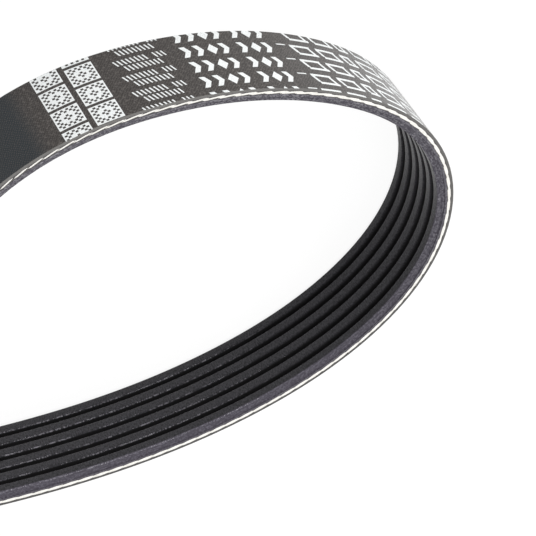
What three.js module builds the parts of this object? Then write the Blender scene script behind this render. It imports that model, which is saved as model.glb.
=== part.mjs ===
// Serpentine belt: an endless multi-rib drive belt with six V ribs, standing on its cut edge.
//
// The belt is a laminate of three layers, moulded as one ring and slit to width:
//   back_ply      the outer skin, rubber faced with fabric, which runs on flat pulleys
//   tension_cord  the cord layer, wound round and round the belt, white at both cut edges
//   rib_body      the rubber under the cords, with the V ribs that grip the grooved pulleys
//
// Millimetres, +Z up. The belt stands on its lower cut edge at z = 0, and its upper cut edge
// is at z = beltWidth. The loop is long in X, and the origin is at the middle of its floor.

import * as THREE from 'three';

// Section: standard rib spacing, layers named from the back inwards
const ribCount = 6;
const ribPitch = 3.56;
const ribHeight = 1.6;
const ribAngle = 40;
const grooveFloor = 0.6;
const ribTipRadius = 0.15;
const grooveRadius = 0.25;
const landThickness = 0.5;
const cordThickness = 0.9;
const backThickness = 0.62;

// Loop: the effective length is measured round the middle of the cords
const effectiveLength = 1640;
const waistRadius = 60;
const waistLean = 4;

// The belt opens into a rounded end where nothing holds it. Each entry is the distance along
// the belt from where that end begins and the radius that the belt is bent to there.
const endBend = [
  { along: 0, radius: Infinity },
  { along: 24, radius: 50 },
  { along: 64, radius: 95 },
  { along: 104, radius: 84 },
  { along: 129, radius: 40 },
  { along: 149, radius: 35 },
  { along: 169, radius: 39 },
  { along: 194, radius: 67 },
  { along: 224, radius: 122 },
  { along: 280, radius: 268 },
  { along: 304, radius: Infinity },
];

// Facets: the most that the belt turns or runs between two sections
const facetTurn = THREE.MathUtils.degToRad(7);
const facetRun = 70;
const marchStep = 0.25;
const ribTipFacets = 2;
const grooveFacets = 1;

// Sizes that follow from the driving dimensions
const beltWidth = ribCount * ribPitch;
const flankSlope = Math.tan(THREE.MathUtils.degToRad(ribAngle / 2));
const flankRun = ribHeight * flankSlope;
const cordOuter = cordThickness / 2;
const cordInner = -cordThickness / 2;
const backFace = cordOuter + backThickness;
const grooveLevel = cordInner - landThickness;
const ribTipLevel = grooveLevel - ribHeight;

// Bend of one half of the loop, as curvature against distance. The half starts at the middle
// of one long strand and ends at the middle of the other, so that it has to turn half a circle.
// The rounded end turns more than that, and a waist bend at each side of it turns the rest back.
// The first waist bend turns waistLean degrees more than an even share, which centres the end.
function halfLoopBend() {
  const end = endBend.map(({ along, radius }) => ({ along, curvature: 1 / radius }));
  let endTurn = 0;
  for (let i = 1; i < end.length; i += 1) {
    const run = end[i].along - end[i - 1].along;
    endTurn += run * (end[i].curvature + end[i - 1].curvature) / 2;
  }
  const surplus = endTurn - Math.PI;
  const lean = THREE.MathUtils.degToRad(waistLean);
  const firstWaist = waistBend(surplus / 2 + lean);
  const lastWaist = waistBend(surplus / 2 - lean);
  const endLength = end[end.length - 1].along;
  const bentLength = firstWaist.length + endLength + lastWaist.length;
  const straight = (effectiveLength / 2 - bentLength) / 2;
  const stations = [{ along: 0, curvature: 0 }];
  let from = straight;
  [firstWaist.stations, end, lastWaist.stations].forEach((group) => {
    group.forEach(({ along, curvature }) => stations.push({ along: from + along, curvature }));
    from += group[group.length - 1].along;
  });
  stations.push({ along: effectiveLength / 2, curvature: 0 });
  return stations;
}

// A waist bend tightens evenly to waistRadius at its middle and eases off again
function waistBend(turn) {
  const length = 2 * Math.abs(turn) * waistRadius;
  const stations = [
    { along: 0, curvature: 0 },
    { along: length / 2, curvature: -Math.sign(turn) / waistRadius },
    { along: length, curvature: 0 },
  ];
  return { length, stations };
}

function curvatureAt(bend, along) {
  let i = 1;
  while (i < bend.length - 1 && bend[i].along < along) {
    i += 1;
  }
  const run = bend[i].along - bend[i - 1].along;
  const share = run > 0 ? (along - bend[i - 1].along) / run : 0;
  return THREE.MathUtils.lerp(bend[i - 1].curvature, bend[i].curvature, share);
}

// Sections along one half: a place, and the direction square to the belt that points out.
// The belt runs clockwise seen from above, so it starts towards -X along the -Y strand.
function halfLoopSections() {
  const bend = halfLoopBend();
  const halfLength = effectiveLength / 2;
  const steps = Math.ceil(halfLength / marchStep);
  const step = halfLength / steps;
  const place = new THREE.Vector2(0, 0);
  let heading = Math.PI;
  let turnSince = 0;
  let runSince = 0;
  const sections = [];
  const addSection = () => {
    const outward = new THREE.Vector2(-Math.sin(heading), Math.cos(heading));
    sections.push({ place: place.clone(), outward });
    turnSince = 0;
    runSince = 0;
  };
  addSection();
  for (let i = 0; i < steps; i += 1) {
    const turn = curvatureAt(bend, (i + 0.5) * step) * step;
    const middle = heading - turn / 2;
    place.x += Math.cos(middle) * step;
    place.y += Math.sin(middle) * step;
    heading -= turn;
    turnSince += Math.abs(turn);
    runSince += step;
    if (i < steps - 1 && (turnSince >= facetTurn || runSince >= facetRun)) {
      addSection();
    }
  }
  return { sections, end: place };
}

// The other half is the same half turned half a circle about the middle of the loop
function loopSections() {
  const { sections, end } = halfLoopSections();
  const middle = end.clone().multiplyScalar(0.5);
  const near = sections.map(({ place, outward }) => ({ place: place.clone().sub(middle), outward }));
  const far = near.map(({ place, outward }) => ({
    place: place.clone().negate(),
    outward: outward.clone().negate(),
  }));
  return [...near, ...far];
}

// Outline with rounded corners. Each corner has x, the distance out from the cord line,
// y, the height above the floor, and where it is rounded a radius and a number of facets.
function roundedOutline(corners) {
  const outline = [];
  corners.forEach((corner, i) => {
    const before = corners[(i + corners.length - 1) % corners.length];
    const after = corners[(i + 1) % corners.length];
    outline.push(...roundedCorner(before, corner, after));
  });
  return outline;
}

function roundedCorner(before, corner, after) {
  const here = new THREE.Vector2(corner.x, corner.y);
  if (!corner.radius) {
    return [here];
  }
  const back = new THREE.Vector2(before.x, before.y).sub(here).normalize();
  const ahead = new THREE.Vector2(after.x, after.y).sub(here).normalize();
  const halfAngle = back.angleTo(ahead) / 2;
  const setback = corner.radius / Math.tan(halfAngle);
  const reach = corner.radius / Math.sin(halfAngle);
  const centre = back.clone().add(ahead).normalize().multiplyScalar(reach).add(here);
  const first = back.multiplyScalar(setback).add(here);
  const last = ahead.multiplyScalar(setback).add(here);
  const from = first.clone().sub(centre);
  const to = last.clone().sub(centre);
  const sweep = Math.atan2(from.cross(to), from.dot(to));
  const arc = [];
  for (let k = 0; k <= corner.facets; k += 1) {
    arc.push(first.clone().rotateAround(centre, sweep * k / corner.facets));
  }
  return arc;
}

function layerOutline(inner, outer) {
  return roundedOutline([
    { x: outer, y: 0 },
    { x: outer, y: beltWidth },
    { x: inner, y: beltWidth },
    { x: inner, y: 0 },
  ]);
}

// Ribs from the upper cut edge down. The belt is slit along the middle of a groove,
// so each cut edge keeps half a groove floor.
function ribOutline() {
  const corners = [{ x: cordInner, y: 0 }, { x: cordInner, y: beltWidth }, { x: grooveLevel, y: beltWidth }];
  const root = { x: grooveLevel, radius: grooveRadius, facets: grooveFacets };
  const tip = { x: ribTipLevel, radius: ribTipRadius, facets: ribTipFacets };
  const halfFloor = grooveFloor / 2;
  for (let i = ribCount; i > 0; i -= 1) {
    const top = i * ribPitch - halfFloor;
    const bottom = (i - 1) * ribPitch + halfFloor;
    corners.push({ ...root, y: top });
    corners.push({ ...tip, y: top - flankRun });
    corners.push({ ...tip, y: bottom + flankRun });
    corners.push({ ...root, y: bottom });
  }
  corners.push({ x: grooveLevel, y: 0 });
  return roundedOutline(corners);
}

// Closed ring: the outline carried round the loop, one copy at each section
function sweepRound(outline, sections) {
  const count = outline.length;
  const positions = [];
  const index = [];
  sections.forEach(({ place, outward }) => {
    outline.forEach((point) => {
      positions.push(place.x + outward.x * point.x, place.y + outward.y * point.x, point.y);
    });
  });
  sections.forEach((section, i) => {
    const here = i * count;
    const next = ((i + 1) % sections.length) * count;
    for (let k = 0; k < count; k += 1) {
      const up = (k + 1) % count;
      index.push(here + k, here + up, next + up);
      index.push(here + k, next + up, next + k);
    }
  });
  const geometry = new THREE.BufferGeometry();
  geometry.setAttribute('position', new THREE.Float32BufferAttribute(positions, 3));
  geometry.setIndex(index);
  geometry.computeVertexNormals();
  return geometry;
}

// Soft matt materials: ribs of fibre-filled rubber, polyester cord, and a fabric-marked back
function softMaterial(color, roughness) {
  return new THREE.MeshStandardMaterial({ color, roughness, metalness: 0, flatShading: true });
}

const ribRubber = softMaterial('#3b3a40', 0.8);
const cordPolyester = softMaterial('#e8e6e0', 0.9);
const backFabric = softMaterial('#484442', 0.7);

function layerMesh(name, outline, sections, material) {
  const mesh = new THREE.Mesh(sweepRound(outline, sections), material);
  mesh.name = name;
  return mesh;
}

const sections = loopSections();
const belt = new THREE.Group();
belt.name = 'serpentine_belt';
belt.add(layerMesh('rib_body', ribOutline(), sections, ribRubber));
belt.add(layerMesh('tension_cord', layerOutline(cordInner, cordOuter), sections, cordPolyester));
belt.add(layerMesh('back_ply', layerOutline(cordOuter, backFace), sections, backFabric));

export default belt;
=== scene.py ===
import math

import bmesh
import bpy
import numpy as np
from bpy.props import FloatProperty, FloatVectorProperty, IntProperty, PointerProperty, StringProperty
from mathutils import Matrix, Vector


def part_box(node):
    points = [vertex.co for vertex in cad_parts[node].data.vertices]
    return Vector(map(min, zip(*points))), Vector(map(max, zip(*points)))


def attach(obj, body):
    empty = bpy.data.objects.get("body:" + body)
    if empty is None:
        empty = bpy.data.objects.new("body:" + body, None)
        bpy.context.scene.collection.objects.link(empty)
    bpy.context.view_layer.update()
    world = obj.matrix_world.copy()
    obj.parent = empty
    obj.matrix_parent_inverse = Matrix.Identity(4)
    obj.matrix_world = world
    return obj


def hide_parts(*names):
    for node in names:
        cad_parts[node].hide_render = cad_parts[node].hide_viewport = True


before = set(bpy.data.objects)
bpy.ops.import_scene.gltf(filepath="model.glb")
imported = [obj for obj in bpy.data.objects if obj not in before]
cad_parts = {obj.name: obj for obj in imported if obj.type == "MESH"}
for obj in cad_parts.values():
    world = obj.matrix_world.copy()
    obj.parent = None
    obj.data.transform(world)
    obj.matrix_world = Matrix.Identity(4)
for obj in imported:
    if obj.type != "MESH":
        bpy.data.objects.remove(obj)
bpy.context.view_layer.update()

# The looks of a serpentine belt: six ground V ribs inside, a fabric-marked back with pale print outside,
# and a white twisted cord laid open in both cut edges.

bl_info = {
    "name": "Serpentine belt",
    "version": (1, 0, 0),
    "blender": (4, 5, 0),
    "location": "3D View > Sidebar > Belt",
    "description": "Builds a multi-rib belt standing on its edge, with its cords, print and studio",
    "category": "Object",
}

MM = 0.001

# How one rounded end bends: distance along the belt from where that end begins, and the bend radius there,
# both in millimetres. Zero stands for straight.
END_BEND = (
    (0, 0), (24, 50), (64, 95), (104, 84), (129, 40), (149, 35), (169, 39), (194, 67), (224, 122), (280, 268),
    (304, 0),
)

# Where the painted light is strongest and where the pale rib lines show most, measured from the start of the
# rounded end. The painted light is a paler stretch of the cut edges and outermost flanks that stands in for
# stronger light there; the pale lines are pulled-out fibres over a painted highlight. Both come and go as a
# slow wave along the belt, from -1 to 1, whose length is the last value below. Below its low value none
# shows, and above its high value all does.
PAINTED_LIGHT_AT = 55 * MM
PAINTED_LIGHT_LOW, PAINTED_LIGHT_HIGH = -0.6, 0.9
TORN_AND_HIGHLIGHT_AT = 300 * MM
TORN_AND_HIGHLIGHT_LOW, TORN_AND_HIGHLIGHT_HIGH = 0.1, 0.8
WAVE_LENGTH = 410 * MM


# Settings


def size_setting(name, description, millimetres):
    return FloatProperty(
        name=name, description=description, default=millimetres * MM, unit="LENGTH", precision=5)


def angle_setting(name, description, degrees):
    return FloatProperty(name=name, description=description, default=math.radians(degrees), subtype="ANGLE")


def power_setting(name, description, watts):
    return FloatProperty(name=name, description=description, default=watts, subtype="POWER")


def colour_setting(name, description, hex_colour):
    return StringProperty(name=name, description=description, default=hex_colour)


class BeltLoopSettings(bpy.types.PropertyGroup):
    """Sizes of the loop and of the belt's section, as the solid model has them."""
    rib_count: IntProperty(name="Ribs", description="V ribs across the width", default=6, min=1)
    rib_height: size_setting("Rib height", "From groove floor to rib tip", 1.6)
    rib_angle: angle_setting("Rib angle", "Angle between the two flanks of a rib", 40)
    groove_floor: size_setting("Groove floor", "Width between flanks at the bottom of a groove", 0.6)
    tip_radius: size_setting("Tip radius", "Rounding of rib tips", 0.15)
    groove_radius: size_setting("Groove radius", "Rounding of groove floors", 0.25)
    land: size_setting("Land", "Rubber between the cords and the groove floors", 0.5)
    cord: size_setting("Cord", "Thickness of the cord layer", 0.9)
    back: size_setting("Back", "Thickness of the back ply", 0.62)
    effective_length: size_setting("Effective length", "Length round the middle of the cords", 1640)
    waist_radius: size_setting("Waist radius", "Tightest radius of the bends beside the waist", 60)
    waist_lean: angle_setting("Waist lean", "Extra turn of the first waist bend", 4)
    facet: size_setting("Facet", "Longest step along the belt where it bends", 2.4)


class BeltCordSettings(bpy.types.PropertyGroup):
    """The twisted cord that shows in the cut edges."""
    plies: IntProperty(name="Plies", description="Yarns twisted into the cord", default=3, min=2)
    lay: size_setting("Lay", "Length of one full twist", 10.8)
    ply_radius: size_setting("Ply radius", "Radius of one yarn", 0.24)
    twist_radius: size_setting("Twist radius", "Distance of a yarn's middle from the cord's middle", 0.2)
    deepest: size_setting("Deepest", "Greatest depth of the cord's middle below the cut face", 0.43)
    barest: size_setting("Barest", "Least depth of the cord's middle below the cut face", 0.07)


class BeltPrintSettings(bpy.types.PropertyGroup):
    """The pale generic marks on the back."""
    start: size_setting("Start", "Where a block of marks starts, from the start of the rounded end", 40.4)
    blocks: IntProperty(name="Blocks", description="Blocks of marks round the belt", default=4, min=1)
    row_pitch: size_setting("Row pitch", "Distance between rows across the belt", 5.42)
    tile: size_setting("Tile", "Side of a square patterned tile", 5.9)
    tile_pitch: size_setting("Tile pitch", "Distance between tiles across the belt", 6.74)
    film: size_setting("Film", "How far the ink stands on the back", 0.02)


class BeltColourSettings(bpy.types.PropertyGroup):
    """Surface colours, as sRGB hex."""
    rubber: colour_setting("Rib rubber", "Ground rib tips", "#38373b")
    # Outermost flanks: purple grey with painted light, paler as the flank that lies open to the lamps
    flank: colour_setting("Rib flanks", "Ground rib flanks", "#605d66")
    cut_rubber: colour_setting("Cut rubber", "Rubber on the knife-cut edge", "#605e63")
    # Painted light: the pale colour that the slow wave lays on the cut edges and outermost flanks where the
    # light fell stronger
    painted_light: colour_setting("Painted_light", "Pale lint on the scuffed rubber", "#89888c")
    back: colour_setting("Back", "Fabric-marked back", "#111e26")
    label: colour_setting("Label", "Browner field under the marks", "#302a27")
    back_cut: colour_setting("Back edge", "Cut edge of the back ply", "#747270")
    cord: colour_setting("Cord", "White polyester cord", "#f1efeb")
    ink: colour_setting("Ink", "Pale ink of the marks", "#e9ecec")


class BeltStageSettings(bpy.types.PropertyGroup):
    """Camera, floor and lamps."""
    aim: FloatVectorProperty(
        name="Aim", description="Point on the upper cut face that the picture is centred on",
        default=(-335.07 * MM, 9.63 * MM, 21.36 * MM), unit="LENGTH", size=3, precision=5)
    azimuth: angle_setting("Azimuth", "Turn of the camera round the belt", -8.567)
    elevation: angle_setting("Elevation", "Height of the camera above the floor", 42.683)
    roll: angle_setting("Roll", "Turn of the picture about its middle", 146.43)
    distance: size_setting("Distance", "Camera to aim", 596.19)
    lens: FloatProperty(name="Lens", description="Focal length in mm on a 36 mm sensor", default=184.42)
    key: power_setting("Key", "Power of the large overhead softbox", 4.0)
    rim: power_setting("Rim", "Power of the softbox behind", 2.5)
    side: power_setting("Side", "Power of the softbox off the end", 7.0)
    fill: FloatProperty(name="Fill", description="Strength of the even white studio", default=0.7)


# Places along the belt


def curvature_profile(loop):
    """Stations round half the loop, as distance and curvature, from the middle of one strand to the other,
    and the distance at which the rounded end begins."""
    end = [(along * MM, 1 / (radius * MM) if radius else 0.0) for along, radius in END_BEND]
    turn = sum((b[0] - a[0]) * (a[1] + b[1]) / 2 for a, b in zip(end, end[1:]))
    surplus = turn - math.pi
    first = waist_bend(surplus / 2 + loop.waist_lean, loop.waist_radius)
    last = waist_bend(surplus / 2 - loop.waist_lean, loop.waist_radius)
    bent = first[-1][0] + end[-1][0] + last[-1][0]
    straight = (loop.effective_length / 2 - bent) / 2
    stations = [(0.0, 0.0)]
    start = straight
    for group in (first, end, last):
        stations += [(start + along, curvature) for along, curvature in group]
        start += group[-1][0]
    stations.append((loop.effective_length / 2, 0.0))
    return stations, straight + first[-1][0]


def waist_bend(turn, radius):
    """A bend that tightens evenly to this radius at its middle and eases off again."""
    length = 2 * abs(turn) * radius
    return [(0.0, 0.0), (length / 2, -math.copysign(1 / radius, turn)), (length, 0.0)]


class BeltLine:
    """The closed line of the cords seen from above, with the direction that points out of the loop."""

    MARCH = 0.25 * MM
    STRAIGHT_FACET = 9 * MM
    STRAIGHT_CURVATURE = 0.001

    def __init__(self, loop):
        stations, self.end_start = curvature_profile(loop)
        self.length = loop.effective_length
        half = self.length / 2
        steps = round(half / self.MARCH)
        at = np.linspace(0, half, steps + 1)
        known = np.array(stations)
        curvature = np.interp(at, known[:, 0], known[:, 1])
        step = half / steps
        turns = (curvature[1:] + curvature[:-1]) / 2 * step
        heading = math.pi - np.concatenate([[0], np.cumsum(turns)])
        heading[-1] = 0
        middle = (heading[1:] + heading[:-1]) / 2
        x = np.concatenate([[0], np.cumsum(np.cos(middle) * step)])
        y = np.concatenate([[0], np.cumsum(np.sin(middle) * step)])
        x -= x[-1] / 2
        y -= y[-1] / 2
        self.at = np.concatenate([at, at[1:] + half])
        self.x = np.concatenate([x, -x[1:]])
        self.y = np.concatenate([y, -y[1:]])
        self.heading = np.concatenate([heading, heading[1:] - math.pi])
        self.curvature = np.concatenate([curvature, curvature[1:]])

    def points(self, at, out, up):
        """3-D points: at along the belt, which may run past its end, out from the cord line, and up from the
        floor."""
        inside = np.mod(at, self.length)
        x = np.interp(inside, self.at, self.x)
        y = np.interp(inside, self.at, self.y)
        heading = np.interp(inside, self.at, self.heading)
        placed = np.broadcast_arrays(x - np.sin(heading) * out, y + np.cos(heading) * out, up)
        return np.stack(placed, axis=-1)

    def stations(self, facet):
        """Distances for the sections of a sweep: facet apart where it bends, further where it doesn't."""
        bends = np.abs(self.curvature) > self.STRAIGHT_CURVATURE
        wanted = np.where(bends, facet, self.STRAIGHT_FACET)
        count = np.concatenate([[0], np.cumsum(np.diff(self.at) / wanted[1:])])
        whole = math.ceil(count[-1])
        return np.interp(np.arange(whole) / whole * count[-1], count, self.at)


# Outlines across the belt. A point is (out from the cord line, up from the floor), with the finish that the
# stretch after it has.

RUBBER_GROUND, RUBBER_CUT = 0, 1
BACK_FACE, BACK_CUT = 0, 1
BED_RUBBER = 0

# A pale line runs just inside the edge of each upper flank, on the side that faces the lamps: fibres that the
# grinding wheel tears out, in broken specks, over a painted highlight along the rib's upper corner. Each
# entry is the share of the flank, counted from the tip, and how strong the line is there.
TORN_AND_HIGHLIGHT_LINE = ((0.36, 0.0), (0.17, 1.0))
# How much of that the outermost rib's line has, and the strength of the faint painted highlight on the
# corners of a tip
TORN_AND_HIGHLIGHT_OUTERMOST = 0.4
CORNER_HIGHLIGHT = 0.15

CORNER_FACETS = 4
BACK_BEVEL = 0.07 * MM
# The rubber round the cords shrank back this much from the knife, so the cut cord stands proud of it
BED_SHRINK = 0.035 * MM


def rounded(before, corner, after, radius, facets):
    """The arc that stands for a corner of an outline, between the points before and after it."""
    here, back, ahead = (np.array(p, float) for p in (corner, before, after))
    back = (back - here) / np.linalg.norm(back - here)
    ahead = (ahead - here) / np.linalg.norm(ahead - here)
    half = math.acos(np.clip(back @ ahead, -1, 1)) / 2
    middle = (back + ahead) / np.linalg.norm(back + ahead)
    centre = here + middle * radius / math.sin(half)
    first = here + back * radius / math.tan(half) - centre
    last = here + ahead * radius / math.tan(half) - centre
    sweep = math.atan2(first[0] * last[1] - first[1] * last[0], first @ last)
    arc = []
    for k in range(facets + 1):
        angle = sweep * k / facets
        turned = (first[0] * math.cos(angle) - first[1] * math.sin(angle),
                  first[0] * math.sin(angle) + first[1] * math.cos(angle))
        arc.append((centre[0] + turned[0], centre[1] + turned[1]))
    return arc


def section_sizes(loop):
    """Sizes across the belt and levels out from the cord line. The width is the frame's own."""
    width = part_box("rib_body")[1].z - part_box("rib_body")[0].z
    pitch = width / loop.rib_count
    cord_in = -loop.cord / 2
    groove = cord_in - loop.land
    return {
        "width": width, "pitch": pitch, "cord_in": cord_in, "cord_out": loop.cord / 2, "groove": groove,
        "tip": groove - loop.rib_height, "back": loop.cord / 2 + loop.back,
        "flank": loop.rib_height * math.tan(loop.rib_angle / 2),
    }


def rib_corners(loop):
    """The rubber's outline before its rounding. With each point goes what it is: the name of a corner, or
    for a point on the pale line its share of the flank and how strong the line is there, pulled-out fibres
    over a painted highlight."""
    s = section_sizes(loop)
    width, cord_in, groove, tip = s["width"], s["cord_in"], s["groove"], s["tip"]
    half = loop.groove_floor / 2
    points = [((cord_in, 0), None), ((cord_in, width), None), ((groove, width), None)]
    for i in range(loop.rib_count, 0, -1):
        top = i * s["pitch"] - half
        bottom = (i - 1) * s["pitch"] + half
        points.append(((groove, top), "upper_root"))
        for share, torn_and_highlight in TORN_AND_HIGHLIGHT_LINE:
            on_flank = (tip + loop.rib_height * share, top - s["flank"] * (1 - share))
            points.append((on_flank, (share, torn_and_highlight)))
        points.append(((tip, top - s["flank"]), "upper_corner"))
        points.append(((tip, bottom + s["flank"]), "lower_corner"))
        points.append(((groove, bottom), "lower_root"))
    points.append(((groove, 0), None))
    return points


def rib_outline(loop):
    """Outline of the rubber, the finish of each stretch, and three marks for each point: its share of the
    pale line, pulled-out fibre ends over a painted highlight; whether it lies on an outermost flank, which is
    painted paler with painted light; and how far down a groove it lies, where shade is painted."""
    points = rib_corners(loop)
    width = section_sizes(loop)["width"]
    first_corner = [kind for _point, kind in points].index("upper_corner")
    last_root = len(points) - 2
    shares = [k / CORNER_FACETS for k in range(CORNER_FACETS + 1)]
    outline, torn_and_highlight_at, lit_outer_flank_at, groove_shade_at = [], [], [], []
    for i, (point, kind) in enumerate(points):
        outermost = i < first_corner or i == last_root
        if isinstance(kind, str):
            is_root = kind.endswith("root")
            before, after = points[i - 1][0], points[(i + 1) % len(points)][0]
            radius = loop.groove_radius if is_root else loop.tip_radius
            outline += rounded(before, point, after, radius, CORNER_FACETS)
            # A faint painted highlight over each tip corner
            torn_and_highlight_at += [0.0 if is_root else CORNER_HIGHLIGHT * math.sin(math.pi * share) for share in shares]
            # Groove floors take the full painted shade
            groove_shade_at += [1.0 if is_root and not outermost else 0.0] * len(shares)
            if i == first_corner:
                lit_outer_flank_at += [1 - share for share in shares]
            elif i == last_root - 1:
                lit_outer_flank_at += shares
            else:
                lit_outer_flank_at += [1.0 if outermost else 0.0] * len(shares)
        else:
            share, torn_and_highlight = kind or (0.0, 0.0)
            outline.append(point)
            torn_and_highlight_at.append(torn_and_highlight * TORN_AND_HIGHLIGHT_OUTERMOST if outermost else torn_and_highlight)
            lit_outer_flank_at.append(1.0 if outermost or kind is None else 0.0)
            groove_shade_at.append(0.0 if outermost else share)
    finish = []
    for a, b in zip(outline, outline[1:] + outline[:1]):
        on_cut = a[1] == b[1] and a[1] in (0, width)
        finish.append(RUBBER_CUT if on_cut else RUBBER_GROUND)
    return outline, finish, {"rib_torn": torn_and_highlight_at, "rib_flank": lit_outer_flank_at, "rib_root": groove_shade_at}


def back_outline(loop):
    s = section_sizes(loop)
    outline = [
        (s["back"] - BACK_BEVEL, 0), (s["back"], BACK_BEVEL), (s["back"], s["width"] - BACK_BEVEL),
        (s["back"] - BACK_BEVEL, s["width"]), (s["cord_out"], s["width"]), (s["cord_out"], 0),
    ]
    return outline, [BACK_CUT, BACK_FACE, BACK_CUT, BACK_CUT, BACK_CUT, BACK_CUT]


def bed_outline(loop):
    s = section_sizes(loop)
    low, high = BED_SHRINK, s["width"] - BED_SHRINK
    return [(s["cord_out"], low), (s["cord_out"], high), (s["cord_in"], high), (s["cord_in"], low)]


# Meshes

# Edges that turn by more than this stay crisp
CRISP_ANGLE = math.radians(35)


def new_object(name, mesh, materials):
    piece = bpy.data.objects.new(name, mesh)
    bpy.context.scene.collection.objects.link(piece)
    for material in materials:
        mesh.materials.append(material)
    return piece


def belong(piece, node):
    """Ties a piece to the body and hides the CAD node that it stands for."""
    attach(piece, "root")
    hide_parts(node)


def mapped_mesh(name, points, faces, uv):
    """A mesh with a UV map, which has a place for each corner of each face."""
    mesh = bpy.data.meshes.new(name)
    mesh.from_pydata(points.reshape(-1, 3), [], faces)
    layer = mesh.uv_layers.new(name="belt_mm")
    layer.data.foreach_set("uv", uv.reshape(-1).astype(np.float32))
    return mesh


def ring_faces(rings, count, first=0):
    """Faces between the rings of a closed tube, each of which has this many points."""
    i = np.arange(rings)[:, None]
    k = np.arange(count)[None, :]
    here, following = first + i * count, first + (i + 1) % rings * count
    after = (k + 1) % count
    return np.stack([here + k, here + after, following + after, following + k], axis=-1)


def ring_uv(along, around):
    """The places of those faces' corners in the UV map."""
    corner_u = (along[:-1, None], along[:-1, None], along[1:, None], along[1:, None])
    corner_v = (around[None, :-1], around[None, 1:], around[None, 1:], around[None, :-1])
    return np.stack([np.stack(np.broadcast_arrays(u, v), -1) for u, v in zip(corner_u, corner_v)], axis=2)


def outward_faces(mesh):
    bm = bmesh.new()
    bm.from_mesh(mesh)
    bmesh.ops.recalc_face_normals(bm, faces=bm.faces)
    bm.to_mesh(mesh)
    bm.free()


def sweep_ring(name, line, outline, facet, finish, materials, marks=None):
    """A closed ring with this outline. Its UV map is in millimetres along the belt and round the outline."""
    stations = line.stations(facet)
    out, up = np.array(outline).T
    lengths = np.hypot(np.diff(np.append(out, out[0])), np.diff(np.append(up, up[0])))
    around = np.concatenate([[0], np.cumsum(lengths)]) / MM
    uv = ring_uv(np.append(stations, line.length) / MM, around)
    faces = ring_faces(len(stations), len(outline)).reshape(-1, 4).tolist()
    mesh = mapped_mesh(name, line.points(stations[:, None], out, up), faces, uv)
    mesh.polygons.foreach_set("material_index", np.tile(np.array(finish, np.int32), len(stations)))
    for mark, values in (marks or {}).items():
        attribute = mesh.attributes.new(mark, "FLOAT", "POINT")
        attribute.data.foreach_set("value", np.tile(np.array(values, np.float32), len(stations)))
    mesh.shade_smooth()
    mesh.set_sharp_from_angle(angle=CRISP_ANGLE)
    mesh.update()
    return new_object(name, mesh, materials)


# The cord's depth below the cut face comes and goes along the belt. It lies deepest at this distance from the
# start of the rounded end, and again after each such length. From there it rises, the sooner the lower the
# power is. It would rise by CORD_RISE in all, but it is held at the deepest that its settings give.
CORD_DEEPEST_AT = -20 * MM
CORD_WANDER_LENGTH = 820 * MM
CORD_RISE = 0.6 * MM
CORD_BARE_POWER = 0.38
# Above this depth the yarns are sliced, and only a little of their roundness is left
CUT_FLAT_FROM = 0.012 * MM
CUT_FLATTENING = 0.1
YARN_STEP = 0.72 * MM
YARN_SIDES = 8


def twisted_cord(name, line, cord, sizes, upper, material):
    """Yarns twisted into a cord along one cut edge, and sliced open by the knife."""
    turns = round(line.length / cord.lay)
    rings = round(line.length / YARN_STEP)
    at = np.arange(rings) * line.length / rings
    wander = math.pi * (at - line.end_start - CORD_DEEPEST_AT) / CORD_WANDER_LENGTH
    bareness = np.abs(np.sin(wander)) ** CORD_BARE_POWER
    depth = np.minimum(cord.barest + CORD_RISE * (1 - bareness), cord.deepest)
    ring = np.arange(YARN_SIDES) * 2 * math.pi / YARN_SIDES
    points, faces = [], []
    for ply in range(cord.plies):
        phase = 2 * math.pi * (ply / cord.plies - turns * at / line.length)
        out = (cord.twist_radius * np.cos(phase))[:, None] + cord.ply_radius * np.cos(ring)[None, :]
        middle = depth[:, None] - (cord.twist_radius * np.sin(phase))[:, None]
        below = middle - cord.ply_radius * np.sin(ring)
        sliced = CUT_FLAT_FROM + (below - CUT_FLAT_FROM) * CUT_FLATTENING
        below = np.where(below < CUT_FLAT_FROM, sliced, below)
        up = sizes["width"] - below if upper else below
        points.append(line.points(at[:, None], out, up))
        faces.append(ring_faces(rings, YARN_SIDES, ply * rings * YARN_SIDES))
    faces = np.stack(faces)
    uv = ring_uv(np.append(at, line.length) / MM, np.arange(YARN_SIDES + 1) / YARN_SIDES)
    uv = np.stack([uv] * cord.plies)
    if upper:
        faces, uv = faces[..., ::-1], uv[..., ::-1, :]
    mesh = mapped_mesh(name, np.stack(points), faces.reshape(-1, 4).tolist(), uv)
    mesh.shade_smooth()
    mesh.update()
    return new_object(name, mesh, [material])


# Slivers on each torn line, the clusters that they stand in, and how far they spread round a cluster's middle
SLIVERS_PER_LINE = 750
SLIVER_CLUSTERS = 240
SLIVER_SPREAD = 2.6 * MM
SLIVER_SEED = 7
# A sliver's least and greatest sizes, and how deep its foot lies, all in millimetres
SLIVER_LENGTHS = (0.12, 0.3)
SLIVER_LIFTS = (0.02, 0.05)
SLIVER_WIDTHS = (0.1, 0.2)
SLIVER_FOOT = 0.03
# How far they scatter across the line, and slant along it
SLIVER_SLIDE = 0.05 * MM
SLIVER_SKEW = 0.12 * MM
# Its faces, by corner: the two ends, the foot and the crown
SLIVER_FACES = ((0, 1, 2), (0, 3, 1), (1, 3, 2), (2, 3, 0))


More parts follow.
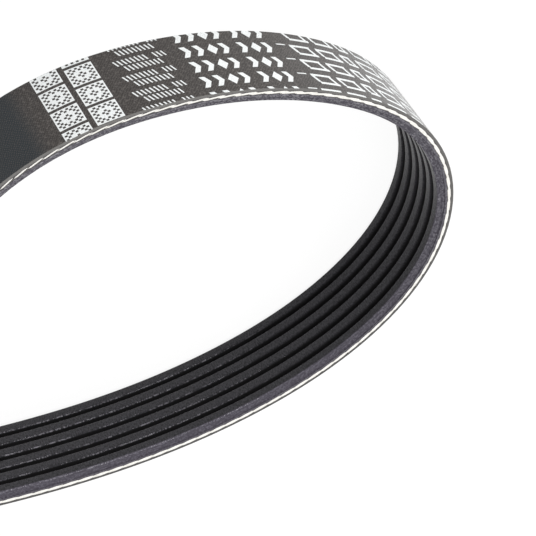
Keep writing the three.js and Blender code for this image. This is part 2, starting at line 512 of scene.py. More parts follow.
def fibre_mesh(line, outline, torn_and_highlight):
    """Small slivers on the torn lines of the ribs, in clusters, each a closed wedge across the line."""
    rng = np.random.default_rng(SLIVER_SEED)
    many = SLIVERS_PER_LINE
    points, faces = [], []
    for middle in [i for i, share in enumerate(torn_and_highlight) if share >= TORN_AND_HIGHLIGHT_OUTERMOST]:
        clusters = rng.uniform(0, line.length, SLIVER_CLUSTERS)
        turn = 2 * math.pi * (clusters - line.end_start - TORN_AND_HIGHLIGHT_AT) / WAVE_LENGTH
        showing = (np.cos(turn) - TORN_AND_HIGHLIGHT_LOW) / (TORN_AND_HIGHLIGHT_HIGH - TORN_AND_HIGHLIGHT_LOW)
        clusters = clusters[rng.random(SLIVER_CLUSTERS) < showing]
        at = rng.choice(clusters, many) + rng.normal(0, SLIVER_SPREAD, many)
        here = np.array(outline[middle])
        tangent = np.array(outline[middle + 1]) - np.array(outline[middle - 1])
        tangent /= np.linalg.norm(tangent)
        outward = np.array([tangent[1], -tangent[0]])
        slide = rng.normal(0, SLIVER_SLIDE, many)
        length = rng.uniform(*SLIVER_LENGTHS, many) * MM
        lift = rng.uniform(*SLIVER_LIFTS, many) * MM
        width = rng.uniform(*SLIVER_WIDTHS, many) * MM
        skew = rng.normal(0, SLIVER_SKEW, many)
        section = here[None, :] + tangent[None, :] * slide[:, None]
        half = tangent * length[:, None] / 2
        low = section - outward * SLIVER_FOOT * MM
        crown = section + outward * lift[:, None]
        corners = [
            (at - skew / 2, section - half), (at + skew / 2, section + half),
            (at - width / 2, low), (at + width / 2, crown),
        ]
        base = len(points) * many * len(corners) + np.arange(many)[:, None] * len(corners)
        faces += [base + np.array(triangle)[None, :] for triangle in SLIVER_FACES]
        block = np.stack([line.points(a, p[:, 0], p[:, 1]) for a, p in corners], axis=1)
        points.append(block.reshape(-1, 3))
    mesh = bpy.data.meshes.new("rib_fibres")
    mesh.from_pydata(np.concatenate(points), [], np.concatenate(faces).tolist())
    outward_faces(mesh)
    return mesh


# Marks on the back. A shape is a list of convex polygons in (along, up), in metres.

ALONG, UP = 0, 1


def bar(left, bottom, right, top, slant=0.0):
    """A box, whose top is moved along the belt by its slant."""
    lean = slant * (top - bottom)
    return [[(left, bottom), (right, bottom), (right + lean, top), (left + lean, top)]]


def hollow_box(left, bottom, right, top, stroke):
    return (bar(left, bottom, right, bottom + stroke) + bar(left, top - stroke, right, top)
            + bar(left, bottom + stroke, left + stroke, top - stroke)
            + bar(right - stroke, bottom + stroke, right, top - stroke))


def patterned_tile(left, bottom, side):
    """A square tile: a frame round an ornament of small squares that is alike on all four sides. Squares
    that touch along the belt are run together."""
    cells = 9
    middle = cells // 2
    frame_width = 0.3 * MM
    cell = (side - 2 * frame_width) / cells
    shapes = hollow_box(left, bottom, left + side, bottom + side, frame_width)
    for row in range(cells):
        steps = [(abs(row - middle), abs(column - middle)) for column in range(cells)]
        # A chequer with a few more squares, and an empty one at the end that closes the last run
        filled = [(a + b) % 2 == 0 or a * b == 2 for a, b in steps] + [False]
        run = 0
        for column, full in enumerate(filled):
            if full:
                run += 1
            elif run:
                right = left + frame_width + column * cell
                low = bottom + frame_width + row * cell
                shapes += bar(right - run * cell, low, right, low + cell)
                run = 0
    return shapes


def small_marks(left, middle):
    """Two short lines of slanting ticks, the first in a long and a short group."""
    tall = 1.75 * MM
    thin = 0.34 * MM
    pitch = 0.92 * MM
    slant = 0.35
    half_gap = 0.28 * MM
    first_line, second_line = middle - half_gap - tall, middle + half_gap
    groups = ((first_line, 0.0, 8), (first_line, 8.6 * MM, 3), (second_line, 1.6 * MM, 9))
    shapes = []
    for bottom, start, ticks in groups:
        for k in range(ticks):
            x = left + start + k * pitch
            shapes += bar(x, bottom, x + thin, bottom + tall, slant)
    return shapes


def bold_marks(left, middle):
    """A line of heavy chevrons with solid diamonds between them, in a group of four and a group of three."""
    half = 1.85 * MM
    stroke = 1.2 * MM
    slant = 0.5
    pitch = 2.9 * MM
    gap = 1.4 * MM
    groups = (("chevron", "chevron", "diamond", "chevron"), ("chevron", "diamond", "chevron"))
    low, high = middle - half, middle + half
    shapes = []
    for g, group in enumerate(groups):
        for k, sign in enumerate(group):
            x = left + (g * len(groups[0]) + k) * pitch + (gap if g else 0.0)
            if sign == "diamond":
                shapes.append([(x, middle), (x + stroke, low), (x + 2 * stroke, middle), (x + stroke, high)])
            else:
                point = x + slant * half
                shapes += bar(x, low, x + stroke, middle, slant)
                shapes += bar(point, middle, point + stroke, high, -slant)
    return shapes


def outline_marks(left, middle):
    """A short thin dash, and then long outlined plates with slanting ends."""
    tall = 3.5 * MM
    bottom = middle - tall / 2
    stroke = 0.72 * MM
    slant = 0.45
    plates = ((1.6, 5.0), (8.2, 5.0), (14.8, 2.8), (19.4, 5.8), (27.0, 4.0))
    lean = slant * (tall - stroke)
    shapes = bar(left - 1.6 * MM, bottom, left + 0.6 * MM, bottom + stroke / 2)
    for start, length in plates:
        x = left + start * MM
        right = x + length * MM
        shapes += bar(x, bottom, right, bottom + stroke)
        shapes += bar(x + lean, bottom + tall - stroke, right + lean, bottom + tall)
        for side in (x, right - stroke):
            shapes += bar(side, bottom + stroke, side + stroke, bottom + tall - stroke, slant)
    return shapes


# Where the parts of a block stand. A column of tiles has its start along the belt and how far up its fourth
# tile is. The second row of marks from above is at MARK_LIFT. What runs past the belt's edges is cut off.
TILE_COLUMNS = ((0.0, 15.1 * MM), (7.1 * MM, 18.2 * MM))
TILE_ROWS = range(-3, 3)
MARK_COLUMNS = ((small_marks, 16.7 * MM), (bold_marks, 31.2 * MM), (outline_marks, 55.4 * MM))
MARK_ROWS = range(-1, 5)
MARK_LIFT = 17.1 * MM
# Longest step of a mark along the belt, so that it follows the bend
PRINT_FACET = 1.3 * MM


def clipped(polygon, axis, limit, keep_above):
    """The part of a convex polygon on one side of a line across or along the belt."""
    def inside(point):
        return point[axis] >= limit if keep_above else point[axis] <= limit

    kept = []
    for a, b in zip(polygon, polygon[1:] + polygon[:1]):
        if inside(a):
            kept.append(a)
        if inside(a) != inside(b):
            share = (limit - a[axis]) / (b[axis] - a[axis])
            kept.append((a[0] + (b[0] - a[0]) * share, a[1] + (b[1] - a[1]) * share))
    return kept


def print_shapes(settings, width):
    """All the marks of one block, along from the block's start."""
    shapes = []
    for column, lift in TILE_COLUMNS:
        for k in TILE_ROWS:
            middle = lift + k * settings.tile_pitch
            shapes += patterned_tile(column, middle - settings.tile / 2, settings.tile)
    for k in MARK_ROWS:
        for marks, column in MARK_COLUMNS:
            shapes += marks(column, MARK_LIFT - k * settings.row_pitch)
    strips = []
    for polygon in shapes:
        part = clipped(clipped(polygon, UP, 0.0, True), UP, width, False)
        if len(part) < 3:
            continue
        low = min(p[0] for p in part)
        high = max(p[0] for p in part)
        cuts = max(1, math.ceil((high - low) / PRINT_FACET))
        for cut in range(cuts):
            left = low + (high - low) * cut / cuts
            right = low + (high - low) * (cut + 1) / cuts
            strip = clipped(clipped(part, ALONG, left, True), ALONG, right, False)
            if len(strip) >= 3:
                strips.append(strip)
    return strips


def ink_film(line, strips, starts, level, film):
    """A thin closed plate for each strip of each block, half sunk into the back."""
    flat, faces = [], []
    for start in starts:
        for strip in strips:
            count = len(strip)
            first = len(flat)
            flat += [(start + along, up, level + film) for along, up in strip]
            flat += [(start + along, up, level - film) for along, up in strip]
            faces.append(tuple(range(first, first + count)))
            faces.append(tuple(range(first + 2 * count - 1, first + count - 1, -1)))
            for k in range(count):
                after = (k + 1) % count
                faces.append((first + after, first + k, first + count + k, first + count + after))
    flat = np.array(flat)
    corners = [point for face in faces for point in face]
    points = line.points(flat[:, 0], flat[:, 2], flat[:, 1])
    mesh = mapped_mesh("back_marks", points, faces, flat[corners, :2] / MM)
    outward_faces(mesh)
    return mesh


# Materials. Their patterns are laid out in the UV map's millimetres. Real grinding marks, fibre ends and
# filaments are finer than a pixel, so each is drawn as coarse as it needs to show, a few tenths of a
# millimetre across.


def linear(hex_colour):
    """sRGB hex to a linear colour with full alpha."""
    channels = [int(hex_colour[i:i + 2], 16) / 255 for i in (1, 3, 5)]
    return tuple(c / 12.92 if c <= 0.04045 else ((c + 0.055) / 1.055) ** 2.4 for c in channels) + (1.0,)


def add_node(tree, kind, inputs=None, **settings):
    """Adds a shader node with its settings. An input is a plain value, a socket that is linked to it, or
    another node, whose first output in use is linked to it."""
    made = tree.nodes.new("ShaderNode" + kind)
    for name, value in settings.items():
        setattr(made, name, value)
    for name, value in (inputs or {}).items():
        if isinstance(value, bpy.types.Node):
            value = next(socket for socket in value.outputs if socket.enabled)
        if isinstance(value, bpy.types.NodeSocket):
            tree.links.new(value, made.inputs[name])
        else:
            made.inputs[name].default_value = value
    return made


def new_material(name):
    material = bpy.data.materials.new(name)
    material.use_nodes = True
    material.node_tree.nodes.clear()
    return material, material.node_tree


def finished(material, inputs):
    """The material with one shader, which has these inputs."""
    tree = material.node_tree
    surface = add_node(tree, "BsdfPrincipled", inputs)
    add_node(tree, "OutputMaterial", {"Surface": surface})
    return material


def mottle(tree, along, across, detail=3.0, roughness=0.5):
    """Cloudy noise with this many grains to a millimetre along and across the belt."""
    uv = add_node(tree, "UVMap", uv_map="belt_mm")
    place = add_node(tree, "Mapping", {"Vector": uv, "Scale": (along, across, 1.0)})
    return add_node(tree, "TexNoise", {
        "Vector": place, "Scale": 1.0, "Detail": detail, "Roughness": roughness})


def speckle(tree, along, across, low, high):
    """Harder mottling: 0 where the noise is at low, and 1 where it is at high."""
    grains = mottle(tree, along, across, roughness=0.6)
    return add_node(tree, "MapRange", {"Value": grains, "From Min": low, "From Max": high})


def along_belt(tree):
    """The distance along the belt, in millimetres."""
    uv = add_node(tree, "UVMap", uv_map="belt_mm")
    return add_node(tree, "SeparateXYZ", {"Vector": uv}).outputs["X"]


def slow_wave(tree, line, crest, low, high):
    """A share between 0 and 1 that comes and goes slowly along the belt."""
    turn = 2 * math.pi * MM / WAVE_LENGTH
    phase = add_node(tree, "Math", {
        0: along_belt(tree), 1: turn, 2: -turn * (line.end_start + crest) / MM}, operation="MULTIPLY_ADD")
    wave = add_node(tree, "Math", {0: phase}, operation="COSINE")
    return add_node(tree, "MapRange", {"Value": wave, "From Min": low, "From Max": high})


def painted_light(tree, line):
    """How much painted light lies on the rubber: a slow wave along the belt that makes one stretch paler,
    standing in for stronger light there.
    """
    return slow_wave(tree, line, PAINTED_LIGHT_AT, PAINTED_LIGHT_LOW, PAINTED_LIGHT_HIGH)


# How pale the painted highlight keeps the line where no fibre speck shows
HIGHLIGHT_LEAST = 0.08


def ground_rubber(colours, line):
    """EPDM filled with chopped fibres, ground to shape. The tips are near black and matt with fine marks
    across them, and a nap of fibres that makes them paler at a shallow angle. The outermost flanks are purple
    grey with fine streaks along the belt, painted paler than the other flanks as the one that lies open to
    the lamps, and paler still where the slow wave of painted light is high. The flanks are painted darker
    towards the grooves, and the grooves near black, as shade. The pale line near each upper corner is broken
    specks of pulled-out fibre ends over a painted highlight, and the tip corners carry a faint painted
    highlight."""
    material, tree = new_material("epdm_ground_ribs")
    flank, torn_and_highlight, root = (
        add_node(tree, "Attribute", attribute_name=mark).outputs["Fac"]
        for mark in ("rib_flank", "rib_torn", "rib_root"))
    grind = speckle(tree, along=3.4, across=1.3, low=0.38, high=0.62)
    grains = speckle(tree, along=1.6, across=2.0, low=0.44, high=0.57)
    streaks = speckle(tree, along=0.3, across=4.5, low=0.38, high=0.62)
    tip = add_node(tree, "Mix", {
        "Factor": grind, "A": linear("#1b1a1d"), "B": linear(colours.rubber)}, data_type="RGBA")
    # Painted light: the outermost flanks' colour, paler than the tips as the lit flank, and paler still along
    # the slow wave
    lit_flank = add_node(tree, "Mix", {
        "Factor": painted_light(tree, line), "A": linear(colours.flank), "B": linear(colours.painted_light)}, data_type="RGBA")
    streaky = add_node(tree, "Mix", {
        "Factor": streaks, "A": linear("#413e46"), "B": lit_flank}, data_type="RGBA")
    side = add_node(tree, "Mix", {"Factor": grains, "A": linear("#3f3c44"), "B": streaky}, data_type="RGBA")
    skin = add_node(tree, "Mix", {"Factor": flank, "A": tip, "B": side}, data_type="RGBA")
    # Painted shade: darker down each flank and near black in the grooves, where the neighbouring rib shades
    # them
    depth = add_node(tree, "MapRange", {"Value": root, "From Min": 0.02, "From Max": 0.45})
    deep = add_node(tree, "Mix", {"Factor": depth, "A": skin, "B": linear("#0a090a")}, data_type="RGBA")
    # The pale line: broken specks of fibre ends over a faint painted highlight, which also lies on the tip
    # corners
    patches = speckle(tree, along=0.13, across=0.4, low=0.38, high=0.58)
    dots = speckle(tree, along=2.0, across=1.4, low=0.47, high=0.58)
    broken = add_node(tree, "Math", {0: patches, 1: dots}, operation="MULTIPLY")
    mottled = add_node(tree, "MapRange", {"Value": broken, "To Min": HIGHLIGHT_LEAST})
    showing = add_node(tree, "Math", {
        0: torn_and_highlight, 1: slow_wave(tree, line, TORN_AND_HIGHLIGHT_AT, TORN_AND_HIGHLIGHT_LOW, TORN_AND_HIGHLIGHT_HIGH)}, operation="MULTIPLY")
    pale = add_node(tree, "Math", {0: mottled, 1: showing}, operation="MULTIPLY")
    colour = add_node(tree, "Mix", {"Factor": pale, "A": deep, "B": linear("#9b98a0")}, data_type="RGBA")
    height = add_node(tree, "Math", {0: grind, 1: grains}, operation="ADD")
    bump = add_node(tree, "Bump", {"Height": height, "Strength": 0.6, "Distance": 0.03 * MM})
    off_tip = add_node(tree, "MapRange", {"Value": root, "From Max": 0.12})
    bare = add_node(tree, "Math", {0: off_tip, 1: flank}, operation="MAXIMUM")
    nap = add_node(tree, "MapRange", {"Value": bare, "To Min": 0.42, "To Max": 0.0})
    return finished(material, {
        "Base Color": colour, "Normal": bump, "Roughness": 0.75, "Specular IOR Level": 0.2,
        "Sheen Weight": nap, "Sheen Roughness": 0.4})


def cut_rubber(colours, line):
    """The same rubber slit with a knife: greyer, because the cut shows the ends of the chopped fibres, with
    fine scratches along the belt."""
    material, tree = new_material("epdm_knife_cut")
    scratch = speckle(tree, along=0.3, across=6.0, low=0.36, high=0.64)
    grains = speckle(tree, along=1.6, across=2.2, low=0.44, high=0.57)
    # Painted light: the cut face turns paler along one stretch of the belt, following the slow wave
    lit_tone = add_node(tree, "Mix", {
        "Factor": painted_light(tree, line), "A": linear(colours.cut_rubber), "B": linear(colours.painted_light)},
        data_type="RGBA")
    tone = add_node(tree, "Mix", {"Factor": scratch, "A": linear("#47444c"), "B": lit_tone}, data_type="RGBA")
    colour = add_node(tree, "Mix", {"Factor": grains, "A": linear("#444149"), "B": tone}, data_type="RGBA")
    height = add_node(tree, "Math", {0: scratch, 1: grains}, operation="ADD")
    bump = add_node(tree, "Bump", {"Height": height, "Strength": 0.5, "Distance": 0.02 * MM})
    return finished(material, {
        "Base Color": colour, "Normal": bump, "Roughness": 0.75, "Specular IOR Level": 0.3})


# The two sets of threads: how far each is turned, in degrees, and the spacing, in millimetres
THREADS = ((52, 0.46), (-38, 0.52))
# Blender's wave texture repeats twenty times over a length of two pi
WAVE_BANDS = 20 / (2 * math.pi)
# The browner field starts this far before the marks, in millimetres, is this long, and comes in and goes
# over this length
LABEL_LEAD = 7.0
LABEL_LENGTH = 99.0
LABEL_FADE = 5.0
# How much of the weave shows outside that field, against how much shows in it
WEAVE_BARE = 0.6


def weave(tree):
    """How far the threads' imprint stands up: two sets of bands that cross."""
    uv = add_node(tree, "UVMap", uv_map="belt_mm")
    bands = []
    for degrees, spacing in THREADS:
        turned = add_node(tree, "Mapping", {"Vector": uv, "Rotation": (0, 0, math.radians(degrees))})
        wave = add_node(tree, "TexWave", {
            "Vector": turned, "Scale": 1 / (spacing * WAVE_BANDS), "Distortion": 4.5, "Detail": 2.0,
            "Detail Scale": 1.2}, wave_type="BANDS", bands_direction="X")
        bands.append(wave.outputs["Fac"])
    return add_node(tree, "Math", {0: bands[0], 1: bands[1]}, operation="MULTIPLY")


def label_field(tree, line, settings):
    """1 where a block of marks lies on the back, and 0 between the blocks."""
    block_length = line.length / settings.blocks / MM
    start = (line.end_start + settings.start) / MM - LABEL_LEAD
    from_block = add_node(tree, "Math", {0: along_belt(tree), 1: start}, operation="SUBTRACT")
    in_block = add_node(tree, "Math", {0: from_block, 1: block_length}, operation="FLOORED_MODULO")
    rise = add_node(tree, "MapRange", {
        "Value": in_block, "From Max": LABEL_FADE}, interpolation_type="SMOOTHSTEP")
    fall = add_node(tree, "MapRange", {
        "Value": in_block, "From Min": LABEL_LENGTH, "From Max": LABEL_LENGTH + LABEL_FADE, "To Min": 1.0,
        "To Max": 0.0}, interpolation_type="SMOOTHSTEP")
    return add_node(tree, "Math", {0: rise, 1: fall}, operation="MULTIPLY")


def fabric_back(colours, line, settings):
    """Rubber cured against a bias-woven fabric: satin black, with the weave's small diamond imprint leaning
    along the belt, and a slightly browner, dusty field where the marks were transferred."""
    material, tree = new_material("epdm_fabric_back")
    threads = weave(tree)
    grain = mottle(tree, along=2.4, across=2.4, detail=5.0, roughness=0.65)
    label = label_field(tree, line, settings)
    base = add_node(tree, "Mix", {
        "Factor": label, "A": linear(colours.back), "B": linear(colours.label)}, data_type="RGBA")
    shade = add_node(tree, "MapRange", {"Value": grain, "From Min": 0.3, "From Max": 0.7, "To Max": 0.55})
    mottled = add_node(tree, "Mix", {"Factor": shade, "A": base, "B": linear("#171717")}, data_type="RGBA")
    showing = add_node(tree, "MapRange", {"Value": label, "To Min": WEAVE_BARE})
    threads_up = add_node(tree, "Math", {0: threads, 1: showing}, operation="MULTIPLY")
    raised = add_node(tree, "Mix", {
        "Factor": threads_up, "A": mottled, "B": linear("#4e4a47")}, data_type="RGBA")
    specks = speckle(tree, along=1.5, across=1.5, low=0.5, high=0.66)
    dust = add_node(tree, "Math", {0: specks, 1: label}, operation="MULTIPLY")
    dusty = add_node(tree, "Mix", {"Factor": dust, "A": raised, "B": linear("#57524f")}, data_type="RGBA")
    height = add_node(tree, "Math", {0: threads, 1: grain}, operation="ADD")
    bump = add_node(tree, "Bump", {"Height": height, "Strength": 0.5, "Distance": 0.04 * MM})
    rough = add_node(tree, "MapRange", {"Value": grain, "To Min": 0.3, "To Max": 0.44})
    return finished(material, {
        "Base Color": dusty, "Normal": bump, "Roughness": rough, "Specular IOR Level": 0.2,
        "Sheen Weight": 0.9, "Sheen Roughness": 0.3})


def cut_back(colours, line):
    """Cut edge of the back ply: rubber and chopped fabric ends in a dull grey, with painted light: dark grey
    along most of the belt and mid grey along the stretch where the slow wave of painted light is high."""
    material, tree = new_material("back_ply_knife_cut")
    ends = mottle(tree, along=1.8, across=7.0, detail=5.0)
    # Painted light: dark grey along most of the belt, paler along the slow wave's stretch
    lit_tone = add_node(tree, "Mix", {
        "Factor": painted_light(tree, line), "A": linear("#2e2d2b"), "B": linear(colours.back_cut)}, data_type="RGBA")
    colour = add_node(tree, "Mix", {"Factor": ends, "A": linear("#454341"), "B": lit_tone}, data_type="RGBA")
    bump = add_node(tree, "Bump", {"Height": ends, "Strength": 0.5, "Distance": 0.02 * MM})
    return finished(material, {"Base Color": colour, "Normal": bump, "Roughness": 0.65})


def adhesion_rubber():
    """Soft rubber that bonds the cords: smooth, dark grey and slightly brown."""
    material, tree = new_material("adhesion_rubber")
    cloudy = mottle(tree, along=1.2, across=2.0)
    colour = add_node(tree, "Mix", {
        "Factor": cloudy, "A": linear("#2c2a29"), "B": linear("#4a4746")}, data_type="RGBA")
    return finished(material, {"Base Color": colour, "Roughness": 0.6})


def polyester_cord(colours):
    """Twisted polyester yarn, sliced open: white and matt, with fine filaments along each yarn and a little
    rubber dust in the valleys. Its UV map runs once round each yarn, so the grains are counted round it."""
    material, tree = new_material("polyester_cord_cut")
    filament = mottle(tree, along=0.7, across=22.0)
    dust = mottle(tree, along=0.5, across=3.0, detail=4.0)
    dusty = add_node(tree, "MapRange", {"Value": dust, "From Min": 0.5, "From Max": 0.8, "To Max": 0.5})
    clean = add_node(tree, "Mix", {
        "Factor": filament, "A": linear("#d9d7d1"), "B": linear(colours.cord)}, data_type="RGBA")
    colour = add_node(tree, "Mix", {"Factor": dusty, "A": clean, "B": linear("#a9a49b")}, data_type="RGBA")
    bump = add_node(tree, "Bump", {"Height": filament, "Strength": 0.6, "Distance": 0.02 * MM})
    return finished(material, {
        "Base Color": colour, "Normal": bump, "Roughness": 0.8, "Specular IOR Level": 0.3})


# Clouds on the fibre ends, counted along each side of the loop's box: a little under a millimetre lengthwise
FIBRE_CLOUDS = 900.0


def fibre_end():
    """Broken end of a chopped fibre: pale grey and matt."""
    material, tree = new_material("chopped_fibre")
    cloudy = add_node(tree, "TexNoise", {"Scale": FIBRE_CLOUDS, "Detail": 1.0})
    colour = add_node(tree, "Mix", {
        "Factor": cloudy, "A": linear("#a5a2a9"), "B": linear("#dddbe0")}, data_type="RGBA")
    return finished(material, {"Base Color": colour, "Roughness": 0.8})


def transfer_ink(colours):
    """Heat-transferred ink: a thin satin film, pale and slightly broken where the weave stands up."""
    material, tree = new_material("transfer_ink")
    patches = mottle(tree, along=3.2, across=3.2, detail=4.0, roughness=0.7)
    gone = add_node(tree, "MapRange", {"Value": patches, "From Min": 0.52, "From Max": 0.72, "To Max": 0.55})
    colour = add_node(tree, "Mix", {
        "Factor": gone, "A": linear(colours.ink), "B": linear("#5d5956")}, data_type="RGBA")
    bump = add_node(tree, "Bump", {"Height": patches, "Strength": 0.4, "Distance": 0.03 * MM})
    return finished(material, {"Base Color": colour, "Normal": bump, "Roughness": 0.55})


# How white the studio floor is to the lamps, and the glow that makes it up to plain white
FLOOR_SHADING = 0.14
FLOOR_GLOW = 0.885


def shown_rays(tree):
    """1 for the rays that show the studio itself, to the camera, in gloss or through glass, and 0 for those
    that only carry its light."""
    rays = add_node(tree, "LightPath").outputs
    seen = add_node(tree, "Math", {0: rays["Is Camera Ray"], 1: rays["Is Glossy Ray"]}, operation="MAXIMUM")
    return add_node(tree, "Math", {0: seen, 1: rays["Is Transmission Ray"]}, operation="MAXIMUM")


def studio_white():
    """Painted studio floor: matt white that lamps light and shade, and that shows as plain white to the
    camera and in gloss."""
    material, tree = new_material("studio_floor")
    plain = add_node(tree, "BsdfDiffuse", {"Color": linear("#e4e4e4")})
    faint = add_node(tree, "BsdfDiffuse", {"Color": (FLOOR_SHADING, FLOOR_SHADING, FLOOR_SHADING, 1.0)})
    light = add_node(tree, "Emission", {"Strength": FLOOR_GLOW})
    bright = add_node(tree, "AddShader", {0: faint, 1: light})
    mixed = add_node(tree, "MixShader", {"Fac": shown_rays(tree), 1: plain, 2: bright})
    add_node(tree, "OutputMaterial", {"Surface": mixed})
    return material


# Operators, one for each piece or group of like pieces


class OBJECT_OT_belt_ribs(bpy.types.Operator):
    """Build the ground V ribs and the rubber that carries them"""
    bl_idname = "object.belt_ribs"
    bl_label = "Ribs"

    def execute(self, context):
        loop = context.scene.belt_loop
        colours = context.scene.belt_colours
        line = BeltLine(loop)
        outline, finish, marks = rib_outline(loop)
        materials = [ground_rubber(colours, line), cut_rubber(colours, line)]
        ribs = sweep_ring("rib_rubber", line, outline, loop.facet, finish, materials, marks)
        belong(ribs, "rib_body")
        return {"FINISHED"}


class OBJECT_OT_belt_fibres(bpy.types.Operator):
    """Scatter the broken fibre ends that stand on the rib corners"""
    bl_idname = "object.belt_fibres"
    bl_label = "Fibre ends"

    def execute(self, context):
        loop = context.scene.belt_loop
        outline, _finish, marks = rib_outline(loop)
        mesh = fibre_mesh(BeltLine(loop), outline, marks["rib_torn"])
        fibres = new_object("rib_fibres", mesh, [fibre_end()])
        belong(fibres, "rib_body")
        return {"FINISHED"}


class OBJECT_OT_belt_back(bpy.types.Operator):
    """Build the fabric-marked back ply"""
    bl_idname = "object.belt_back"
    bl_label = "Back ply"

    def execute(self, context):
        scene = context.scene
        colours = scene.belt_colours
        line = BeltLine(scene.belt_loop)
        outline, finish = back_outline(scene.belt_loop)
        materials = [fabric_back(colours, line, scene.belt_print), cut_back(colours, line)]
        back = sweep_ring("back_fabric", line, outline, scene.belt_loop.facet, finish, materials)
        belong(back, "back_ply")
        return {"FINISHED"}


class OBJECT_OT_belt_print(bpy.types.Operator):
    """Lay the blocks of generic pale marks on the back"""
    bl_idname = "object.belt_print"
    bl_label = "Marks"

    def execute(self, context):
        scene = context.scene
        settings = scene.belt_print
        line = BeltLine(scene.belt_loop)
        sizes = section_sizes(scene.belt_loop)
        strips = print_shapes(settings, sizes["width"])
        spacing = line.length / settings.blocks
        starts = [line.end_start + settings.start + k * spacing for k in range(settings.blocks)]
        mesh = ink_film(line, strips, starts, sizes["back"], settings.film)
        marks = new_object("back_marks", mesh, [transfer_ink(scene.belt_colours)])
        belong(marks, "back_ply")
        return {"FINISHED"}


class OBJECT_OT_belt_cords(bpy.types.Operator):
    """Build the cord layer and the twisted cords laid open in both cut edges"""
    bl_idname = "object.belt_cords"
    bl_label = "Cords"

    def execute(self, context):
        scene = context.scene
        loop = scene.belt_loop
        line = BeltLine(loop)
        outline = bed_outline(loop)
        finish = [BED_RUBBER] * len(outline)
        bed = sweep_ring("cord_bed", line, outline, loop.facet, finish, [adhesion_rubber()])
        belong(bed, "tension_cord")
        white = polyester_cord(scene.belt_colours)
        for name, upper in (("edge_cord_upper", True), ("edge_cord_lower", False)):
            cord = twisted_cord(name, line, scene.belt_cord, section_sizes(loop), upper, white)
            belong(cord, "tension_cord")
        return {"FINISHED"}


# The floor, in metres. It lies a hair below the belt, so that no face of the two coincides.
FLOOR_DROP = -0.02 * MM
FLOOR_REACH = 6.0
# Each softbox: its place from the aim and the length of its side, in metres, and the setting of its power
SOFTBOXES = {
    "softbox_above": ((0.15, -0.1, 0.9), 1.0, "key"),
    "softbox_behind": ((0.1, 0.8, 0.75), 0.8, "rim"),
    "softbox_end": ((-0.95, -0.45, 0.45), 0.7, "side"),
}


class SCENE_OT_belt_stage(bpy.types.Operator):
    """Set up the floor, the softboxes and the camera"""
    bl_idname = "scene.belt_stage"
    bl_label = "Studio"

    def execute(self, context):
        scene = context.scene
        stage = scene.belt_stage
        scene.view_settings.view_transform = "Standard"
        add_camera(scene, stage)
        add_floor()
        add_world(scene, stage)
        aim = Vector(stage.aim)
        for name, (offset, side, power) in SOFTBOXES.items():
            add_softbox(name, aim + Vector(offset), aim, side, getattr(stage, power))
        return {"FINISHED"}


def add_camera(scene, stage):
    azimuth, elevation, roll = stage.azimuth, stage.elevation, stage.roll
    flat = math.cos(elevation)
    forward = Vector((math.sin(azimuth) * flat, math.cos(azimuth) * flat, -math.sin(elevation)))
    level = Vector((math.cos(azimuth), -math.sin(azimuth), 0))
    upright = level.cross(forward)
    right = level * math.cos(roll) + upright * math.sin(roll)
    up = upright * math.cos(roll) - level * math.sin(roll)
    data = bpy.data.cameras.new("camera")
    data.sensor_fit = "HORIZONTAL"
    data.sensor_width = 36
    data.lens = stage.lens
    data.clip_start = 0.01
    data.clip_end = 20
    camera = bpy.data.objects.new("camera", data)
    place = Vector(stage.aim) - forward * stage.distance
    turn = Matrix((right, up, -forward)).transposed().to_4x4()
    camera.matrix_world = Matrix.Translation(place) @ turn
    scene.collection.objects.link(camera)
    scene.camera = camera


def add_floor():
    mesh = bpy.data.meshes.new("floor")
    corners = [(-1, -1, 0), (1, -1, 0), (1, 1, 0), (-1, 1, 0)]
    mesh.from_pydata([Vector(corner) * FLOOR_REACH for corner in corners], [], [(0, 1, 2, 3)])
    floor = new_object("floor", mesh, [studio_white()])
    floor.location.z = FLOOR_DROP


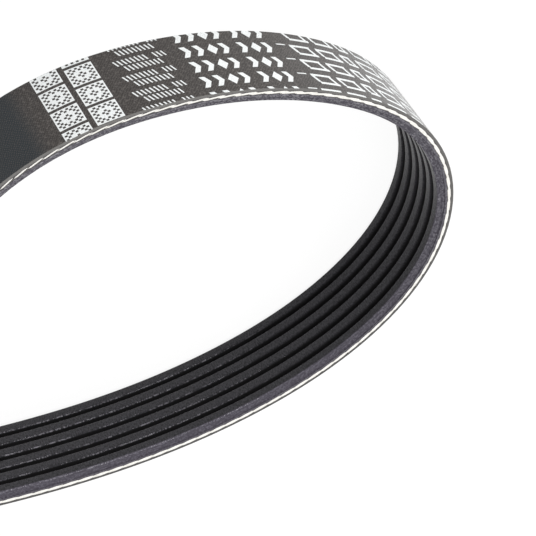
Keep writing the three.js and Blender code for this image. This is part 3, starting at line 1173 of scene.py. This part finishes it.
def add_world(scene, stage):
    world = bpy.data.worlds.new("studio")
    scene.world = world
    world.use_nodes = True
    tree = world.node_tree
    tree.nodes.clear()
    strength = add_node(tree, "MapRange", {"Value": shown_rays(tree), "To Min": stage.fill, "To Max": 1.0})
    background = add_node(tree, "Background", {"Strength": strength, "Color": (1, 1, 1, 1)})
    add_node(tree, "OutputWorld", {"Surface": background})


def add_softbox(name, place, aim, side, power):
    data = bpy.data.lights.new(name, "AREA")
    data.shape = "SQUARE"
    data.size = side
    data.energy = power
    lamp = bpy.data.objects.new(name, data)
    lamp.location = place
    lamp.rotation_euler = (aim - place).to_track_quat("-Z", "Y").to_euler()
    bpy.context.scene.collection.objects.link(lamp)


class VIEW3D_PT_belt(bpy.types.Panel):
    """Sidebar panel that lists the belt's settings and pieces"""
    bl_label = "Serpentine belt"
    bl_space_type = "VIEW_3D"
    bl_region_type = "UI"
    bl_category = "Belt"

    def draw(self, context):
        layout = self.layout
        for group in SETTINGS:
            box = layout.box()
            settings = getattr(context.scene, group)
            for name in settings.bl_rna.properties.keys():
                if name not in ("rna_type", "name"):
                    box.prop(settings, name)
        for operator in PIECES:
            layout.operator(operator.bl_idname)


SETTINGS = {
    "belt_loop": BeltLoopSettings,
    "belt_cord": BeltCordSettings,
    "belt_print": BeltPrintSettings,
    "belt_colours": BeltColourSettings,
    "belt_stage": BeltStageSettings,
}

PIECES = (
    OBJECT_OT_belt_ribs, OBJECT_OT_belt_fibres, OBJECT_OT_belt_back, OBJECT_OT_belt_print,
    OBJECT_OT_belt_cords, SCENE_OT_belt_stage,
)


def register():
    for group, settings in SETTINGS.items():
        bpy.utils.register_class(settings)
        setattr(bpy.types.Scene, group, PointerProperty(type=settings))
    for operator in PIECES:
        bpy.utils.register_class(operator)
    bpy.utils.register_class(VIEW3D_PT_belt)


def unregister():
    bpy.utils.unregister_class(VIEW3D_PT_belt)
    for operator in reversed(PIECES):
        bpy.utils.unregister_class(operator)
    for group, settings in SETTINGS.items():
        delattr(bpy.types.Scene, group)
        bpy.utils.unregister_class(settings)


def main():
    register()
    bpy.ops.object.belt_ribs()
    bpy.ops.object.belt_fibres()
    bpy.ops.object.belt_back()
    bpy.ops.object.belt_print()
    bpy.ops.object.belt_cords()
    bpy.ops.scene.belt_stage()


if __name__ == "__main__":
    main()
